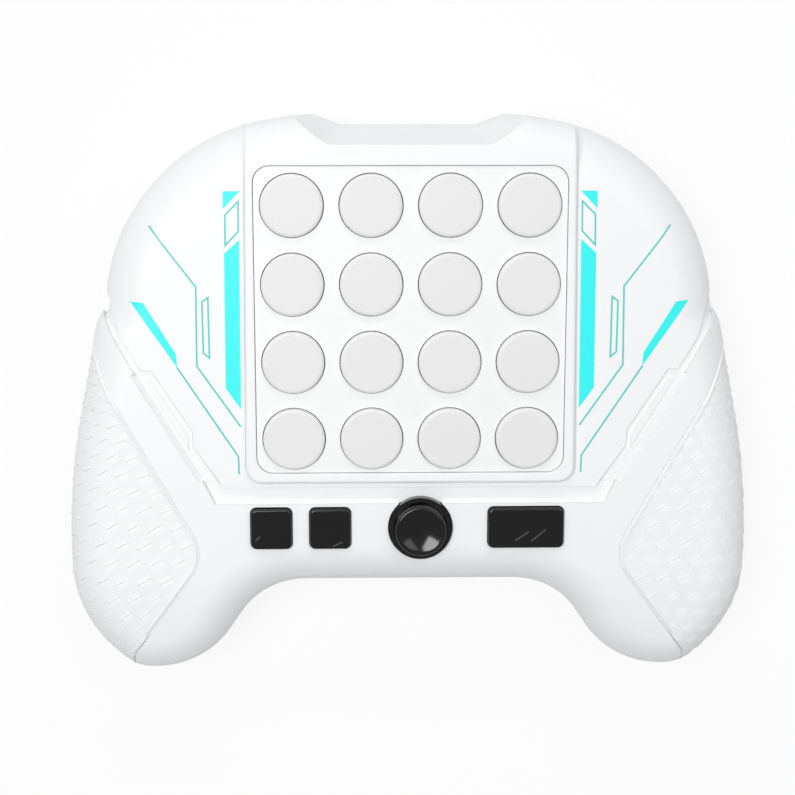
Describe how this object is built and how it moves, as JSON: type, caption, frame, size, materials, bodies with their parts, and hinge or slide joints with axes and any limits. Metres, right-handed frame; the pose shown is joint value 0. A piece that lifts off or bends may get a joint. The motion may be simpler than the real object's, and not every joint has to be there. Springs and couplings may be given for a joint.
{
  "type": "electronic bubble pop game",
  "caption": "Gamepad-shaped hand-held bubble pop game: sprung round push bubbles in a square field, push keys below, textured grips, battery door behind.",
  "frame": {"origin": "under the middle of the body's bounding box, on the plane of the flat back", "axes": "+X to the right as the player sees the face, +Y toward the top edge with the two horns, +Z out of the face with the bubbles"},
  "size_m": [0.1758, 0.1438, 0.0362],
  "materials": {
    "shell_white": "smooth, softly glossy white moulding",
    "grip_white": "white, fine honeycomb relief",
    "bezel_white": "smooth white moulding",
    "panel_white": "smooth white moulding",
    "bubble_grey": "satin pale grey cap",
    "key_black": "glossy black",
    "pad_rubber": "translucent pale silicone",
    "board_green": "solder-resist green",
    "lamp_clear": "clear lamp body",
    "chip_black": "black package",
    "screw_steel": "zinc-plated steel",
    "door_white": "smooth white moulding",
    "cell_wrap": "printed sleeve over a metal can, left plain",
    "contact_nickel": "nickel-plated spring steel",
    "speaker_steel": "pressed steel",
    "cone_black": "treated paper cone"
  },
  "bodies": {
    "housing": {"front_shell": "shell_white", "rear_shell": "shell_white", "grip_cover_left": "grip_white", "grip_cover_right": "grip_white", "bezel_frame": "bezel_white", "bubble_panel": "panel_white", "dome_pad": "pad_rubber", "key_pad": "pad_rubber", "main_board": "board_green", "lamps": "lamp_clear", "controller_chip": "chip_black", "board_screws": "screw_steel", "housing_screws": "screw_steel", "door_screw": "screw_steel", "battery_door": "door_white", "cell_1": "cell_wrap", "cell_2": "cell_wrap", "cell_3": "cell_wrap", "battery_contacts": "contact_nickel", "speaker_basket": "speaker_steel", "speaker_cone": "cone_black"},
    "bubble_r1c1": {"bubble_r1c1": "bubble_grey"},
    "bubble_r1c2": {"bubble_r1c2": "bubble_grey"},
    "bubble_r1c3": {"bubble_r1c3": "bubble_grey"},
    "bubble_r1c4": {"bubble_r1c4": "bubble_grey"},
    "bubble_r2c1": {"bubble_r2c1": "bubble_grey"},
    "bubble_r2c2": {"bubble_r2c2": "bubble_grey"},
    "bubble_r2c3": {"bubble_r2c3": "bubble_grey"},
    "bubble_r2c4": {"bubble_r2c4": "bubble_grey"},
    "bubble_r3c1": {"bubble_r3c1": "bubble_grey"},
    "bubble_r3c2": {"bubble_r3c2": "bubble_grey"},
    "bubble_r3c3": {"bubble_r3c3": "bubble_grey"},
    "bubble_r3c4": {"bubble_r3c4": "bubble_grey"},
    "bubble_r4c1": {"bubble_r4c1": "bubble_grey"},
    "bubble_r4c2": {"bubble_r4c2": "bubble_grey"},
    "bubble_r4c3": {"bubble_r4c3": "bubble_grey"},
    "bubble_r4c4": {"bubble_r4c4": "bubble_grey"},
    "key_left": {"key_left": "key_black"},
    "key_middle": {"key_middle": "key_black"},
    "key_wide": {"key_wide": "key_black"},
    "start_button": {"start_button": "key_black"}
  },
  "joints": [
    {"name": "press_r1c1", "type": "slide", "parent": "housing", "child": "bubble_r1c1", "axis": [0, 0, -1], "range_m": [0, 0.0015], "stiffness_N_per_m": 400, "springref_m": -0.0005, "deforming": ["dome_pad"]},
    {"name": "press_r1c2", "type": "slide", "parent": "housing", "child": "bubble_r1c2", "axis": [0, 0, -1], "range_m": [0, 0.0015], "stiffness_N_per_m": 400, "springref_m": -0.0005, "deforming": ["dome_pad"]},
    {"name": "press_r1c3", "type": "slide", "parent": "housing", "child": "bubble_r1c3", "axis": [0, 0, -1], "range_m": [0, 0.0015], "stiffness_N_per_m": 400, "springref_m": -0.0005, "deforming": ["dome_pad"]},
    {"name": "press_r1c4", "type": "slide", "parent": "housing", "child": "bubble_r1c4", "axis": [0, 0, -1], "range_m": [0, 0.0015], "stiffness_N_per_m": 400, "springref_m": -0.0005, "deforming": ["dome_pad"]},
    {"name": "press_r2c1", "type": "slide", "parent": "housing", "child": "bubble_r2c1", "axis": [0, 0, -1], "range_m": [0, 0.0015], "stiffness_N_per_m": 400, "springref_m": -0.0005, "deforming": ["dome_pad"]},
    {"name": "press_r2c2", "type": "slide", "parent": "housing", "child": "bubble_r2c2", "axis": [0, 0, -1], "range_m": [0, 0.0015], "stiffness_N_per_m": 400, "springref_m": -0.0005, "deforming": ["dome_pad"]},
    {"name": "press_r2c3", "type": "slide", "parent": "housing", "child": "bubble_r2c3", "axis": [0, 0, -1], "range_m": [0, 0.0015], "stiffness_N_per_m": 400, "springref_m": -0.0005, "deforming": ["dome_pad"]},
    {"name": "press_r2c4", "type": "slide", "parent": "housing", "child": "bubble_r2c4", "axis": [0, 0, -1], "range_m": [0, 0.0015], "stiffness_N_per_m": 400, "springref_m": -0.0005, "deforming": ["dome_pad"]},
    {"name": "press_r3c1", "type": "slide", "parent": "housing", "child": "bubble_r3c1", "axis": [0, 0, -1], "range_m": [0, 0.0015], "stiffness_N_per_m": 400, "springref_m": -0.0005, "deforming": ["dome_pad"]},
    {"name": "press_r3c2", "type": "slide", "parent": "housing", "child": "bubble_r3c2", "axis": [0, 0, -1], "range_m": [0, 0.0015], "stiffness_N_per_m": 400, "springref_m": -0.0005, "deforming": ["dome_pad"]},
    {"name": "press_r3c3", "type": "slide", "parent": "housing", "child": "bubble_r3c3", "axis": [0, 0, -1], "range_m": [0, 0.0015], "stiffness_N_per_m": 400, "springref_m": -0.0005, "deforming": ["dome_pad"]},
    {"name": "press_r3c4", "type": "slide", "parent": "housing", "child": "bubble_r3c4", "axis": [0, 0, -1], "range_m": [0, 0.0015], "stiffness_N_per_m": 400, "springref_m": -0.0005, "deforming": ["dome_pad"]},
    {"name": "press_r4c1", "type": "slide", "parent": "housing", "child": "bubble_r4c1", "axis": [0, 0, -1], "range_m": [0, 0.0015], "stiffness_N_per_m": 400, "springref_m": -0.0005, "deforming": ["dome_pad"]},
    {"name": "press_r4c2", "type": "slide", "parent": "housing", "child": "bubble_r4c2", "axis": [0, 0, -1], "range_m": [0, 0.0015], "stiffness_N_per_m": 400, "springref_m": -0.0005, "deforming": ["dome_pad"]},
    {"name": "press_r4c3", "type": "slide", "parent": "housing", "child": "bubble_r4c3", "axis": [0, 0, -1], "range_m": [0, 0.0015], "stiffness_N_per_m": 400, "springref_m": -0.0005, "deforming": ["dome_pad"]},
    {"name": "press_r4c4", "type": "slide", "parent": "housing", "child": "bubble_r4c4", "axis": [0, 0, -1], "range_m": [0, 0.0015], "stiffness_N_per_m": 400, "springref_m": -0.0005, "deforming": ["dome_pad"]},
    {"name": "press_key_left", "type": "slide", "parent": "housing", "child": "key_left", "axis": [0, 0, -1], "range_m": [0, 0.0012], "stiffness_N_per_m": 400, "springref_m": -0.0005, "deforming": ["key_pad"]},
    {"name": "press_key_middle", "type": "slide", "parent": "housing", "child": "key_middle", "axis": [0, 0, -1], "range_m": [0, 0.0012], "stiffness_N_per_m": 400, "springref_m": -0.0005, "deforming": ["key_pad"]},
    {"name": "press_key_wide", "type": "slide", "parent": "housing", "child": "key_wide", "axis": [0, 0, -1], "range_m": [0, 0.0012], "stiffness_N_per_m": 400, "springref_m": -0.0005, "deforming": ["key_pad"]},
    {"name": "press_start", "type": "slide", "parent": "housing", "child": "start_button", "axis": [0, 0, -1], "range_m": [0, 0.0012], "stiffness_N_per_m": 400, "springref_m": -0.0005, "deforming": ["key_pad"]}
  ]
}
